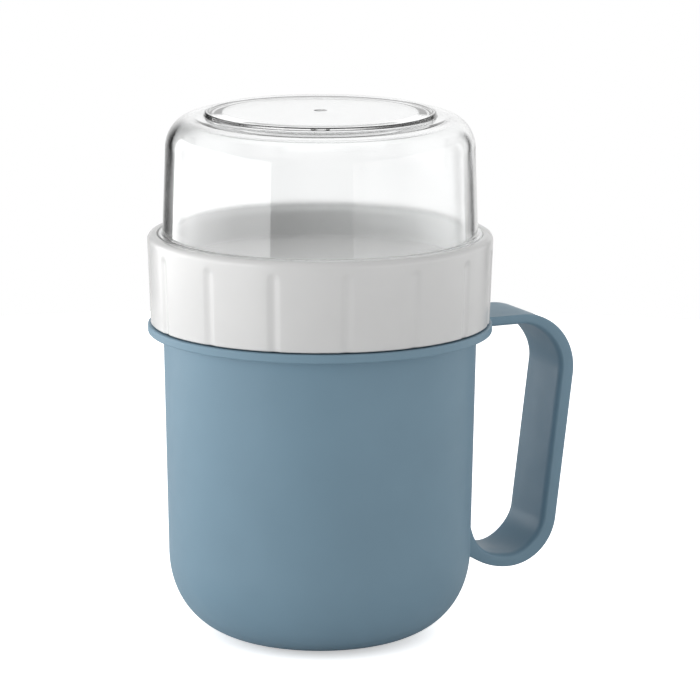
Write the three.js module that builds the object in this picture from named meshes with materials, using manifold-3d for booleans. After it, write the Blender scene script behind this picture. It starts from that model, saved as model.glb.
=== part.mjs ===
// A to-go cup with two compartments. A blue mug with a moulded strap handle holds the wet food.
// A white lid screws onto it, and a clear container screws upside down into the top of the lid.
// Two silicone rings seal the joints.
// Millimetres, +Z up. The origin is the middle of the base and the handle points along +X.

import * as THREE from 'three';
import { mergeVertices } from 'three/addons/utils/BufferGeometryUtils.js';
import Module from 'manifold-3d';

const wasm = await Module();
wasm.setup();

// Driving dimensions, in millimetres and degrees

// Mug
const CUP_RADIUS = 45.4; // outside of the wall, right under the lip
const CUP_HEIGHT = 92.8; // base to the top of the lip
const CUP_WALL = 1.9;
const CUP_FLOOR = 2.2;
const CUP_DRAFT = 1.15; // the wall leans out towards the top
const CORNER_RISE = 25.9; // height of the rounded bottom corner
const CORNER_RUN = 26.2; // how far the corner draws the base in
const CORNER_FULLNESS = 0.61; // curve handle length, 0.55 would be a circle
const LIP_THICKNESS = 2.5;
const LIP_PROUD = 0.75; // the lip stands out past the lid's lower edge
const LIP_ROUND = 0.4;
const NECK_STEP = 0.3; // the neck stands in from the wall
const NECK_PLAIN = 3.4; // smooth neck above the thread
const RIM_ROUND = 0.6;

// Handle
const FINGER_GAP = 28.1; // wall to the inside of the handle at its widest
const HANDLE_WIDTH = 21.8;
const ROOT_THICKNESS = 3.1; // of the strap where it leaves the lip
const GRIP_THICKNESS = 4.4;
const FOOT_THICKNESS = 3.7;
const BEND_SWELL = 0.4; // added in the middle of the two bends beside the grip
const HANDLE_ROUND = 0.5; // on the outside corners of the strap
const FINGER_ROUND = 1.2; // on the corners that the fingers feel, as deep as this
const FINGER_EASE = 2.6; // and as wide as this
const HANDLE_DROP = 1.05; // top of the handle below the top of the lip
const HANDLE_CLEARANCE_BELOW = 15.95; // base to the lowest point of the handle
const HANDLE_TOP_BEND = 17; // bends are measured on the outside of the strap
const HANDLE_LOW_BEND = 15.4;
const HANDLE_FOOT_BEND = 21.5;
const HANDLE_LEAN = 7; // the grip leans in towards the bottom
const HANDLE_FOOT_RISE = 30; // the outside of the strap climbs to the wall at this angle
const FOOT_SWEEP = 20; // the inside climbs at this angle and then sweeps up the wall
const FOOT_FILLET = 15; // how far it goes up the wall
const HANDLE_ROOT = 6; // the strap runs in this far before the mug is hollowed

// Threads, the same section on the neck, in the lid and on the clear container
const THREAD_LEAD = 20; // rise in one turn
const THREAD_STARTS = 4;
const THREAD_HEIGHT = 1.1;
const THREAD_ROOT = 1.8;
const THREAD_CREST = 1.0;
const THREAD_CLEARANCE = 0.4; // crest to the opposite wall
const FLANK_GAP = 0.4; // between the flanks that press together
const CUP_THREAD_SPAN = 80;
const DOME_THREAD_SPAN = 55;
const CUP_THREAD_PHASE = 10;
const DOME_THREAD_PHASE = 24;
const THREAD_INSET = 1.9; // lower edge of the lid to its first ridge
const RIM_INSET = 1.1; // rim of the container to its first ridge
const THREAD_RUN_OUT = 10; // each ridge fades over this angle at both ends

// Lid
const LID_WALL = 2.55; // at the lower edge
const LID_FLARE = 0.85; // the ring is wider at the top by this much
const LID_FLOOR = 1.9;
const LID_TOP_ROUND = 1.8;
const LID_EDGE_ROUND = 0.4;
const LID_RIM = 2.85; // top of the ring, outside the container
const LEDGE_WIDTH = 1.15; // seat for the container's seal
const PLUG_DEPTH = 3; // collar that reaches into the neck
const PLUG_WALL = 1.6;
const FLUTES = 15;
const FLUTE_PHASE = 13.8;
const FLUTE_RADIUS = 4.5;
const FLUTE_DEPTH = 0.5;
const FLUTE_TOP_MARGIN = 3; // top of the lid to the top of a flute

// Clear container
const DOME_HEIGHT = 35.5; // flange to the top
const DOME_WALL = 2;
const DOME_NECK_WALL = 1.6;
const DOME_STEP = 1.1; // the wall stands out from the threaded neck
const DOME_TAPER = 0.9; // the wall draws in by this much up to the shoulder
const DOME_FLANGE = 1.4;
const SHOULDER_RUN = 8.3;
const SHOULDER_RISE = 9.4;
const BASE_MARGIN = 3.1; // between the shoulder and the raised base
const BASE_STEP = 1.3; // height of the base that the container stands on when it is turned over
const BASE_ROUND = 0.45;
const CEILING_INSET = 1; // the step inside starts this far in from the one outside
const CEILING_SLOPE = 4; // and rises over this width
const GATE_RADIUS = 1.8; // moulding mark in the middle of the base
const GATE_DEPTH = 0.35;

// Seals and fits
const LID_SEAL_THICKNESS = 1.2;
const DOME_SEAL_THICKNESS = 1;
const SEAL_GAP = 0.25; // round a seal
const SEAT_GAP = 0.35; // between pieces that seat on each other
const PLUG_CLEARANCE = 0.45;
const FLANGE_CLEARANCE = 0.3;

// Facets
const ROUND_STEPS = 60;
const CORNER_STEPS = 7;
const EDGE_STEPS = 2; // on the small rounded edges
const LID_ROUND_STEPS = 4;
const SHOULDER_STEPS = 6;
const RIDGE_STEP = 6; // degrees
const FLUTE_STEPS = 28;
const FLUTE_END_STEPS = 5;
const BEND_STEP = 7.5; // degrees
const FOOT_STEPS = 4;
const WELD = 1e-4; // corners closer than this are one corner

// Values worked out from the driving dimensions

const tan = (degrees) => Math.tan(THREE.MathUtils.degToRad(degrees));
const sin = (degrees) => Math.sin(THREE.MathUtils.degToRad(degrees));
const cos = (degrees) => Math.cos(THREE.MathUtils.degToRad(degrees));
const threadRise = (span) => THREAD_LEAD * span / 360;

// Radii
const neckRadius = CUP_RADIUS - NECK_STEP;
const neckBore = CUP_RADIUS - CUP_WALL;
const lidBore = neckRadius + THREAD_HEIGHT + THREAD_CLEARANCE;
const lidRadius = lidBore + LID_WALL;
const lipRadius = lidRadius + LIP_PROUD;
const lidTopRadius = lidRadius + LID_FLARE;
const plugRadius = neckBore - PLUG_CLEARANCE;
const rebateRadius = lidTopRadius - LID_RIM;
const flangeRadius = rebateRadius - FLANGE_CLEARANCE;
const upperBore = rebateRadius - LEDGE_WIDTH;
const domeNeckRadius = upperBore - THREAD_CLEARANCE - THREAD_HEIGHT;
const domeRadius = domeNeckRadius + DOME_STEP;
const domeBore = domeNeckRadius - DOME_NECK_WALL;

// Distance between the middles of two ridges whose flanks press together
const flankSlope = (THREAD_ROOT - THREAD_CREST) / 2 / THREAD_HEIGHT;
const ridgeOffset = THREAD_ROOT - flankSlope * (THREAD_HEIGHT + THREAD_CLEARANCE) + FLANK_GAP;

// Heights above the base
const lidBottom = CUP_HEIGHT + SEAT_GAP;
const cupThreadStart = lidBottom + THREAD_INSET + ridgeOffset;
const neckTop = cupThreadStart + threadRise(CUP_THREAD_SPAN) + THREAD_ROOT / 2 + NECK_PLAIN;
const lidSealBottom = neckTop + SEAL_GAP;
const lidFloorUnder = lidSealBottom + LID_SEAL_THICKNESS + SEAL_GAP;
const lidFloorTop = lidFloorUnder + LID_FLOOR;
const domeRim = lidFloorTop + SEAT_GAP;
const lidUpperThreadStart = domeRim + RIM_INSET + ridgeOffset;
const lidLedge = lidUpperThreadStart + threadRise(DOME_THREAD_SPAN) + THREAD_ROOT / 2;
const domeSealBottom = lidLedge + SEAL_GAP;
const domeFlangeUnder = domeSealBottom + DOME_SEAL_THICKNESS + SEAL_GAP;
const lidTop = domeFlangeUnder + DOME_FLANGE;
const lipUnder = CUP_HEIGHT - LIP_THICKNESS;

// Radius of the mug where its wall meets the rounded bottom corner
const wallFoot = CUP_RADIUS - (lipUnder - CORNER_RISE) * tan(CUP_DRAFT);

// Solids

const v2 = (x, y) => new THREE.Vector2(x, y);
const polar = (radius, angle) => v2(radius * cos(angle), radius * sin(angle));

// A closed solid from a geometry whose faces share their corners
function solid(geometry) {
  geometry.deleteAttribute('normal');
  geometry.deleteAttribute('uv');
  const merged = mergeVertices(geometry, WELD);
  const corners = Array.from(merged.index.array);
  const kept = [];
  for (let i = 0; i < corners.length; i += 3) {
    const [a, b, c] = corners.slice(i, i + 3);
    if (a !== b && b !== c && c !== a) {
      kept.push(a, b, c);
    }
  }
  const mesh = new wasm.Mesh({
    numProp: 3,
    vertProperties: new Float32Array(merged.attributes.position.array),
    triVerts: new Uint32Array(kept),
  });
  return new wasm.Manifold(mesh);
}

// A turned solid. The outline goes round its section anticlockwise, with Z up and radius to the right
function turned(outline, steps = ROUND_STEPS) {
  const geometry = new THREE.LatheGeometry(outline, steps);
  geometry.rotateX(Math.PI / 2);
  return solid(geometry);
}

// Points on a rounded outer corner: from one end of a quarter ellipse to the other
function quarter(middle, run, rise, fromAngle, toAngle, steps) {
  const points = [];
  for (let i = 0; i <= steps; i += 1) {
    const angle = fromAngle + (toAngle - fromAngle) * i / steps;
    points.push(v2(middle.x + run * cos(angle), middle.y + rise * sin(angle)));
  }
  return points;
}

// A closed solid through a row of sections with as many points each. Looking along the row, the
// points of a section go round anticlockwise
function loft(sections) {
  const count = sections[0].length;
  const last = (sections.length - 1) * count;
  const faces = [];
  for (let k = 1; k < count - 1; k += 1) {
    faces.push(0, k, k + 1);
    faces.push(last, last + k + 1, last + k);
  }
  for (let start = 0; start < last; start += count) {
    for (let k = 0; k < count; k += 1) {
      const a = start + k;
      const b = start + (k + 1) % count;
      faces.push(a, a + count, b + count);
      faces.push(a, b + count, b);
    }
  }
  const geometry = new THREE.BufferGeometry().setFromPoints(sections.flat());
  geometry.setIndex(faces);
  return solid(geometry);
}

// One helical ridge on a round wall. Side is 1 on an outside wall and -1 in a bore
function ridge(wallRadius, startHeight, startAngle, span, side) {
  const steps = Math.ceil(span / RIDGE_STEP);
  const sink = THREAD_CLEARANCE;
  const root = wallRadius - side * sink;
  const sections = [];
  for (let i = 0; i <= steps; i += 1) {
    const turn = span * i / steps;
    const fade = Math.min(1, turn / THREAD_RUN_OUT, (span - turn) / THREAD_RUN_OUT);
    const crest = wallRadius + side * ((THREAD_HEIGHT + sink / 2) * fade - sink / 2);
    const angle = startAngle + turn;
    const point = (radius, height) => new THREE.Vector3(
      radius * cos(angle),
      radius * sin(angle),
      startHeight + threadRise(turn) + side * height,
    );
    sections.push([
      point(root, -THREAD_ROOT / 2),
      point(crest, -THREAD_CREST / 2),
      point(crest, THREAD_CREST / 2),
      point(root, THREAD_ROOT / 2),
    ]);
  }
  return loft(sections);
}

// The same solid with every start of a thread added to one of its walls
function threaded(body, wallRadius, startHeight, phase, span, side) {
  let result = body;
  for (let k = 0; k < THREAD_STARTS; k += 1) {
    const startAngle = phase + 360 * k / THREAD_STARTS;
    result = result.add(ridge(wallRadius, startHeight, startAngle, span, side));
  }
  return result;
}

// Rounded bottom corner of the mug, from the base up to the wall, drawn in by an inset
function bottomCorner(wallRadius, inset, floorHeight) {
  const run = CORNER_RUN - inset;
  const rise = CORNER_RISE - floorHeight;
  const curve = new THREE.CubicBezierCurve(
    v2(wallRadius - run, floorHeight),
    v2(wallRadius - run * (1 - CORNER_FULLNESS), floorHeight),
    v2(wallRadius, floorHeight + rise * (1 - CORNER_FULLNESS)),
    v2(wallRadius, floorHeight + rise),
  );
  return curve.getPoints(CORNER_STEPS);
}

// Edges of the strap in the plane of the handle, from inside the lip round to inside the wall
function strapEdges() {
  const root = neckBore - HANDLE_ROOT;
  const top = CUP_HEIGHT - HANDLE_DROP;
  const reach = CUP_RADIUS + FINGER_GAP + GRIP_THICKNESS;
  const topBend = v2(reach - HANDLE_TOP_BEND, top - HANDLE_TOP_BEND);
  const lowBendHeight = HANDLE_CLEARANCE_BELOW + HANDLE_LOW_BEND;
  const gripDrop = topBend.y - lowBendHeight;
  const bendChange = (HANDLE_TOP_BEND - HANDLE_LOW_BEND) / cos(HANDLE_LEAN);
  const lowBend = v2(topBend.x + bendChange - gripDrop * tan(HANDLE_LEAN), lowBendHeight);
  const footBend = v2(lowBend.x, HANDLE_CLEARANCE_BELOW + HANDLE_FOOT_BEND);
  const edges = [{ inner: v2(root, top - ROOT_THICKNESS), outer: v2(root, top) }];
  const addBend = (middle, bend, fromAngle, toAngle, fromThickness, toThickness) => {
    const steps = Math.ceil((fromAngle - toAngle) / BEND_STEP);
    for (let i = 0; i <= steps; i += 1) {
      const angle = fromAngle + (toAngle - fromAngle) * i / steps;
      const swell = BEND_SWELL * sin(180 * i / steps) ** 2;
      const thickness = fromThickness + (toThickness - fromThickness) * i / steps + swell;
      edges.push({
        inner: polar(bend - thickness, angle).add(middle),
        outer: polar(bend, angle).add(middle),
      });
    }
  };
  addBend(topBend, HANDLE_TOP_BEND, 90, -HANDLE_LEAN, ROOT_THICKNESS, GRIP_THICKNESS);
  addBend(lowBend, HANDLE_LOW_BEND, -HANDLE_LEAN, -90, GRIP_THICKNESS, FOOT_THICKNESS);
  const footSteps = Math.ceil(HANDLE_FOOT_RISE / BEND_STEP);
  for (let i = 1; i <= footSteps; i += 1) {
    const share = i / footSteps;
    edges.push({
      inner: polar(HANDLE_FOOT_BEND - FOOT_THICKNESS, -90 - FOOT_SWEEP * share).add(footBend),
      outer: polar(HANDLE_FOOT_BEND, -90 - HANDLE_FOOT_RISE * share).add(footBend),
    });
  }
  return [...edges, ...footEdges(edges[edges.length - 1])];
}

// Edges of the strap where it meets the wall: the inner one sweeps up along the wall, the outer one
// runs straight on, and both end inside the wall
function footEdges({ inner, outer }) {
  const meeting = (start, rise) => v2(wallFoot, start.y + (start.x - wallFoot) * tan(rise));
  const corner = meeting(inner, FOOT_SWEEP);
  const sweep = new THREE.QuadraticBezierCurve(inner, corner, v2(wallFoot, corner.y + FOOT_FILLET));
  const outerEnd = meeting(outer, HANDLE_FOOT_RISE);
  const edges = [];
  for (let i = 1; i <= FOOT_STEPS; i += 1) {
    const share = i / FOOT_STEPS;
    edges.push({
      inner: sweep.getPoint(share),
      outer: outer.clone().lerp(outerEnd, share),
      hug: share ** 2,
    });
  }
  const last = edges[edges.length - 1];
  const inward = v2(-HANDLE_ROOT, 0);
  edges.push({ inner: last.inner.clone().add(inward), outer: last.outer.clone().add(inward), hug: 1 });
  return edges;
}

// Section of the strap between its edges, with soft corners on the side of the fingers. Hug, from 0
// to 1, curves it to follow the wall
function strapSection({ inner, outer, hug = 0 }) {
  const across = outer.clone().sub(inner);
  const thickness = across.length();
  across.normalize();
  const outside = v2(thickness - HANDLE_ROUND, HANDLE_WIDTH / 2 - HANDLE_ROUND);
  const inside = v2(FINGER_ROUND, HANDLE_WIDTH / 2 - FINGER_EASE);
  const outline = [
    ...quarter(outside, HANDLE_ROUND, HANDLE_ROUND, 0, 90, EDGE_STEPS),
    ...quarter(inside, FINGER_ROUND, FINGER_EASE, 90, 180, EDGE_STEPS),
    ...quarter(v2(inside.x, -inside.y), FINGER_ROUND, FINGER_EASE, 180, 270, EDGE_STEPS),
    ...quarter(v2(outside.x, -outside.y), HANDLE_ROUND, HANDLE_ROUND, 270, 360, EDGE_STEPS),
  ];
  return outline.map((p) => {
    const curve = CUP_RADIUS - Math.sqrt(CUP_RADIUS ** 2 - p.y ** 2);
    return new THREE.Vector3(inner.x + across.x * p.x - hug * curve, p.y, inner.y + across.y * p.x);
  });
}

function cup() {
  const lipMiddle = lipRadius - LIP_ROUND;
  const rimMiddle = v2(neckRadius - RIM_ROUND, neckTop - RIM_ROUND);
  const outside = [
    v2(0, 0),
    ...bottomCorner(wallFoot, 0, 0),
    v2(CUP_RADIUS, lipUnder),
    ...quarter(v2(lipMiddle, lipUnder + LIP_ROUND), LIP_ROUND, LIP_ROUND, -90, 0, EDGE_STEPS),
    ...quarter(v2(lipMiddle, CUP_HEIGHT - LIP_ROUND), LIP_ROUND, LIP_ROUND, 0, 90, EDGE_STEPS),
    v2(neckRadius, CUP_HEIGHT),
    ...quarter(rimMiddle, RIM_ROUND, RIM_ROUND, 0, 90, EDGE_STEPS),
    v2(0, neckTop),
  ];
  const inside = [
    v2(0, CUP_FLOOR),
    ...bottomCorner(wallFoot - CUP_WALL, CUP_WALL, CUP_FLOOR),
    v2(neckBore, lipUnder),
    v2(neckBore, neckTop + CUP_FLOOR),
    v2(0, neckTop + CUP_FLOOR),
  ];
  const body = turned(outside).add(loft(strapEdges().map(strapSection)));
  const necked = threaded(body, neckRadius, cupThreadStart, CUP_THREAD_PHASE, CUP_THREAD_SPAN, 1);
  return necked.subtract(turned(inside));
}

// Round-ended cutter for one finger flute, standing on the lid's lower edge
function fluteCutter(height) {
  const outline = [
    v2(0, -FLUTE_RADIUS),
    v2(FLUTE_RADIUS, -FLUTE_RADIUS),
    ...quarter(v2(0, height - FLUTE_RADIUS), FLUTE_RADIUS, FLUTE_RADIUS, 0, 90, FLUTE_END_STEPS),
  ];
  return turned(outline, FLUTE_STEPS);
}

// The lid, with its lower edge at height 0
function lid() {
  const height = lidTop - lidBottom;
  const floorUnder = lidFloorUnder - lidBottom;
  const floorTop = lidFloorTop - lidBottom;
  const ledge = lidLedge - lidBottom;
  const topMiddle = v2(lidTopRadius - LID_TOP_ROUND, height - LID_TOP_ROUND);
  const edgeMiddle = v2(lidRadius - LID_EDGE_ROUND, LID_EDGE_ROUND);
  const outline = [
    v2(0, floorUnder),
    v2(plugRadius - PLUG_WALL, floorUnder),
    v2(plugRadius - PLUG_WALL, floorUnder - PLUG_DEPTH),
    v2(plugRadius, floorUnder - PLUG_DEPTH),
    v2(plugRadius, floorUnder),
    v2(lidBore, floorUnder),
    v2(lidBore, 0),
    ...quarter(edgeMiddle, LID_EDGE_ROUND, LID_EDGE_ROUND, -90, 0, EDGE_STEPS),
    ...quarter(topMiddle, LID_TOP_ROUND, LID_TOP_ROUND, 0, 90, LID_ROUND_STEPS),
    v2(rebateRadius, height),
    v2(rebateRadius, ledge),
    v2(upperBore, ledge),
    v2(upperBore, floorTop),
    v2(0, floorTop),
  ];
  const cutterHeight = height - FLUTE_TOP_MARGIN;
  const cutter = fluteCutter(cutterHeight);
  const flareAngle = THREE.MathUtils.radToDeg(Math.atan(LID_FLARE / (height - LID_TOP_ROUND)));
  let body = turned(outline);
  for (let k = 0; k < FLUTES; k += 1) {
    const placed = cutter
      .rotate([0, flareAngle, 0])
      .translate([lidRadius + FLUTE_RADIUS - FLUTE_DEPTH, 0, 0])
      .rotate([0, 0, FLUTE_PHASE + 360 * k / FLUTES]);
    body = body.subtract(placed);
  }
  const lower = THREAD_INSET;
  const upper = lidUpperThreadStart - lidBottom;
  body = threaded(body, lidBore, lower, CUP_THREAD_PHASE, CUP_THREAD_SPAN, -1);
  return threaded(body, upperBore, upper, DOME_THREAD_PHASE, DOME_THREAD_SPAN, -1);
}

// The clear container, with its rim at height 0
function dome() {
  const flangeUnder = domeFlangeUnder - domeRim;
  const flangeTop = flangeUnder + DOME_FLANGE;
  const top = flangeTop + DOME_HEIGHT;
  const shoulderTop = top - BASE_STEP;
  const shoulderRadius = domeRadius - DOME_TAPER;
  const middle = v2(shoulderRadius - SHOULDER_RUN, shoulderTop - SHOULDER_RISE);
  const baseRadius = middle.x - BASE_MARGIN;
  const baseMiddle = v2(baseRadius - BASE_ROUND, top - BASE_ROUND);
  const ceiling = top - DOME_WALL;
  const innerBase = baseRadius - CEILING_INSET;
  const innerRun = SHOULDER_RUN - DOME_WALL;
  const innerRise = SHOULDER_RISE - DOME_WALL;
  const outline = [
    v2(0, ceiling),
    v2(innerBase - CEILING_SLOPE, ceiling),
    v2(innerBase, ceiling - BASE_STEP),
    ...quarter(middle, innerRun, innerRise, 90, 0, SHOULDER_STEPS),
    v2(domeBore, flangeTop),
    v2(domeBore, 0),
    v2(domeNeckRadius, 0),
    v2(domeNeckRadius, flangeUnder),
    v2(flangeRadius, flangeUnder),
    v2(flangeRadius, flangeTop),
    v2(domeRadius, flangeTop),
    ...quarter(middle, SHOULDER_RUN, SHOULDER_RISE, 0, 90, SHOULDER_STEPS),
    v2(baseRadius, shoulderTop),
    ...quarter(baseMiddle, BASE_ROUND, BASE_ROUND, 0, 90, EDGE_STEPS),
    v2(GATE_RADIUS, top),
    v2(GATE_RADIUS, top - GATE_DEPTH),
    v2(0, top - GATE_DEPTH),
  ];
  const body = turned(outline);
  return threaded(body, domeNeckRadius, RIM_INSET, DOME_THREAD_PHASE, DOME_THREAD_SPAN, 1);
}

// A flat ring with its lower face at height 0
function sealRing(innerRadius, outerRadius, thickness) {
  const outline = [
    v2(innerRadius, 0),
    v2(outerRadius, 0),
    v2(outerRadius, thickness),
    v2(innerRadius, thickness),
    v2(innerRadius, 0),
  ];
  return turned(outline);
}

// Materials and the assembly

const bluePlastic = new THREE.MeshStandardMaterial({ color: 0x7c98aa, roughness: 0.5, metalness: 0 });
const whitePlastic = new THREE.MeshStandardMaterial({ color: 0xdcdcdc, roughness: 0.25, metalness: 0 });
const clearPlastic = new THREE.MeshStandardMaterial({
  color: 0xf4f8fa,
  roughness: 0.05,
  metalness: 0,
  transparent: true,
  opacity: 0.3,
});
const silicone = new THREE.MeshStandardMaterial({ color: 0xe4e6e4, roughness: 0.6, metalness: 0 });

function piece(name, body, material, height) {
  const { vertProperties, triVerts } = body.getMesh();
  const geometry = new THREE.BufferGeometry();
  geometry.setAttribute('position', new THREE.BufferAttribute(vertProperties, 3));
  geometry.setIndex(new THREE.BufferAttribute(triVerts, 1));
  geometry.computeVertexNormals();
  const mesh = new THREE.Mesh(geometry, material);
  mesh.name = name;
  mesh.position.z = height;
  return mesh;
}

const lidSeal = sealRing(plugRadius + SEAL_GAP, lidBore - SEAL_GAP, LID_SEAL_THICKNESS);
const domeSeal = sealRing(domeNeckRadius + SEAL_GAP, rebateRadius - SEAL_GAP, DOME_SEAL_THICKNESS);

const toGoCup = new THREE.Group();
toGoCup.add(
  piece('cup', cup(), bluePlastic, 0),
  piece('lid_seal', lidSeal, silicone, lidSealBottom),
  piece('lid', lid(), whitePlastic, lidBottom),
  piece('dome_seal', domeSeal, silicone, domeSealBottom),
  piece('dome', dome(), clearPlastic, domeRim),
);

export default toGoCup;
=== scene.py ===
# A to-go cup in soft studio light: a blue mug with a strap handle, a white screw lid, and a clear
# container screwed upside down into the lid. Outlines are in millimetres, objects in metres.

import math

import bmesh
import bpy
from mathutils import Matrix, Vector


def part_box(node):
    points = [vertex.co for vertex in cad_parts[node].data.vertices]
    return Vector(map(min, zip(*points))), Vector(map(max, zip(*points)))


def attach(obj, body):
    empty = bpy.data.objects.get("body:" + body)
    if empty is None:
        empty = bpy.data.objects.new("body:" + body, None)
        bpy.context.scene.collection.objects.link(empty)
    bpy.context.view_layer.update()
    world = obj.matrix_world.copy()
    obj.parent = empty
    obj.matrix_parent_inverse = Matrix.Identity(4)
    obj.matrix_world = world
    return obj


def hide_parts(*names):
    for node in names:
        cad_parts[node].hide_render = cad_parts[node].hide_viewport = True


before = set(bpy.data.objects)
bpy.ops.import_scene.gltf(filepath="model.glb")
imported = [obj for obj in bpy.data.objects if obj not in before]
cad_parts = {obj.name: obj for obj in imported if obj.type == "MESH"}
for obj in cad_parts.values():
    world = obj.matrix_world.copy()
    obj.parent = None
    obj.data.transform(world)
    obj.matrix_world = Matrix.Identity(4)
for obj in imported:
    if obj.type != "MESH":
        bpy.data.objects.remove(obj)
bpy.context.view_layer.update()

MM = 0.001


def box_mm(node):
    """Lowest and highest corner of a solid of the frame, in millimetres."""
    low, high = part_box(node)
    return low / MM, high / MM


# Sizes that the frame gives, in millimetres

_, cup_high = box_mm("cup")
lid_low, lid_high = box_mm("lid")
dome_low, dome_high = box_mm("dome")
lid_seal_low, lid_seal_high = box_mm("lid_seal")
dome_seal_low, dome_seal_high = box_mm("dome_seal")

LIP_RADIUS = cup_high.y
NECK_TOP = cup_high.z
HANDLE_REACH = cup_high.x
LID_BOTTOM = lid_low.z
LID_TOP = lid_high.z
LID_TOP_RADIUS = lid_high.y
DOME_RIM = dome_low.z
DOME_TOP = dome_high.z
FLANGE_RADIUS = dome_high.y

# Sizes that the frame's boxes don't show, in millimetres and degrees

CUP_RADIUS = 45.4
CUP_LIP_TOP = 92.8
CUP_WALL = 1.9
CUP_FLOOR = 2.2
CUP_DRAFT = 1.15
CORNER_RISE = 25.9
CORNER_RUN = 26.2
CORNER_FULLNESS = 0.61
LIP_THICKNESS = 2.5
LIP_ROUND = 0.45
LIP_FILLET = 0.5
NECK_STEP = 0.3
RIM_ROUND = 0.7
BASE_GROOVE_RADIUS = 14.0
BASE_GROOVE_WIDTH = 0.8
BASE_GROOVE_DEPTH = 0.25
GATE_DIMPLE_RADIUS = 2.6
GATE_DIMPLE_DEPTH = 0.4
DIMPLE_FLOOR_ROUND = 0.2
DIMPLE_EDGE_ROUND = 0.15
BASE_GROOVE_ROUND = 0.1

HANDLE_WIDTH = 21.8
ROOT_THICKNESS = 3.1
GRIP_THICKNESS = 4.4
FOOT_THICKNESS = 3.7
BEND_SWELL = 0.4
HANDLE_ROUND = 0.5
FINGER_ROUND = 1.2
FINGER_EASE = 2.6
HANDLE_DROP = 1.05
HANDLE_CLEARANCE_BELOW = 15.95
HANDLE_TOP_BEND = 17.0
HANDLE_LOW_BEND = 15.4
HANDLE_FOOT_BEND = 21.5
HANDLE_LEAN = 7.0
HANDLE_FOOT_RISE = 30.0
FOOT_SWEEP = 20.0
FOOT_FILLET_ABOVE = 15.0
FOOT_FILLET_BELOW = 0.6
FOOT_FLARE = 0.4
FOOT_SINK = 0.25
ROOT_SINK = 0.7

THREAD_LEAD = 20.0
THREAD_STARTS = 4
THREAD_HEIGHT = 1.1
THREAD_ROOT = 1.8
THREAD_CREST = 1.0
THREAD_ROUND = 0.3
THREAD_SINK = 0.5
THREAD_CLEARANCE = 0.4
FLANK_GAP = 0.4
THREAD_RUN_OUT = 10.0
THREAD_INSET = 1.9
RIM_INSET = 1.1
CUP_THREAD_SPAN = 80.0
CUP_THREAD_PHASE = 10.0
DOME_THREAD_SPAN = 55.0
DOME_THREAD_PHASE = 24.0

LID_WALL = 2.55
LID_FLOOR = 1.9
LID_RIM = 2.85
LID_TOP_ROUND = 1.8
LID_EDGE_ROUND = 0.45
LID_RIM_ROUND = 0.3
REBATE_ROUND = 0.2
LEDGE_ROUND = 0.3
SOCKET_ROUND = 0.8
SKIRT_ROUND = 0.5
LEDGE_WIDTH = 1.15
PLUG_DEPTH = 3.0
PLUG_WALL = 1.6
PLUG_CLEARANCE = 0.45
PLUG_CEILING_ROUND = 0.6
PLUG_INNER_ROUND = 0.5
PLUG_OUTER_ROUND = 0.7
PLUG_ROOT_ROUND = 0.3
FLUTES = 15
FLUTE_PHASE = 13.8
FLUTE_HALF_WIDTH = 2.3
FLUTE_DEPTH = 0.4
FLUTE_TOP_MARGIN = 3.0

DOME_WALL = 2.0
DOME_NECK_WALL = 1.6
DOME_STEP = 1.1
DOME_TAPER = 0.9
DOME_FLANGE = 1.4
DOME_RIM_ROUND = 0.5
FLANGE_ROUND = 0.3
DOME_FOOT_FILLET = 0.4
SHOULDER_RUN = 8.3
SHOULDER_RISE = 9.4
BASE_MARGIN = 3.1
BASE_STEP = 1.3
BASE_ROUND = 0.45
BASE_FILLET = 0.4
CEILING_INSET = 1.0
CEILING_SLOPE = 4.0
CEILING_ROUND = 2.0
GATE_RADIUS = 1.8
GATE_DEPTH = 0.35
GATE_ROUND = 0.1

SEAL_GAP = 0.25
SEAL_ROUND_SHARE = 0.35

# Fineness of the meshes

ROUND_STEPS = 256
ARC_STEP = 12.0
SHOULDER_STEP = 6.0
SUPPORT = 0.05
CORNER_STEPS = 32
BEND_STEP = 3.0
RIDGE_STEP = 2.0
FOOT_STEPS = 12
FLUTE_ANGLE_STEPS = 14
PLAIN_ANGLE_STEPS = 10
FLUTE_ROW_STEP = 0.35
WALL_ROW_STEP = 2.0
SHARP_ANGLE = 35.0

# Sizes worked out from these

neck_radius = CUP_RADIUS - NECK_STEP
neck_bore = CUP_RADIUS - CUP_WALL
lip_under = CUP_LIP_TOP - LIP_THICKNESS
wall_foot = CUP_RADIUS - (lip_under - CORNER_RISE) * math.tan(math.radians(CUP_DRAFT))
lid_bore = neck_radius + THREAD_HEIGHT + THREAD_CLEARANCE
lid_radius = lid_bore + LID_WALL
plug_radius = neck_bore - PLUG_CLEARANCE
rebate_radius = LID_TOP_RADIUS - LID_RIM
upper_bore = rebate_radius - LEDGE_WIDTH
dome_neck_radius = upper_bore - THREAD_CLEARANCE - THREAD_HEIGHT
dome_radius = dome_neck_radius + DOME_STEP
dome_bore = dome_neck_radius - DOME_NECK_WALL
shoulder_radius = dome_radius - DOME_TAPER - SHOULDER_RUN
flank_slope = (THREAD_ROOT - THREAD_CREST) / 2 / THREAD_HEIGHT
ridge_offset = THREAD_ROOT - flank_slope * (THREAD_HEIGHT + THREAD_CLEARANCE) + FLANK_GAP
lid_floor_under = lid_seal_high.z + SEAL_GAP
lid_floor_top = lid_floor_under + LID_FLOOR
lid_ledge = dome_seal_low.z - SEAL_GAP
flange_top = LID_TOP
flange_under = flange_top - DOME_FLANGE


# Mesh helpers


def polar(radius, degrees):
    """A point of a circle about the origin."""
    angle = math.radians(degrees)
    return Vector((radius * math.cos(angle), radius * math.sin(angle)))


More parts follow.
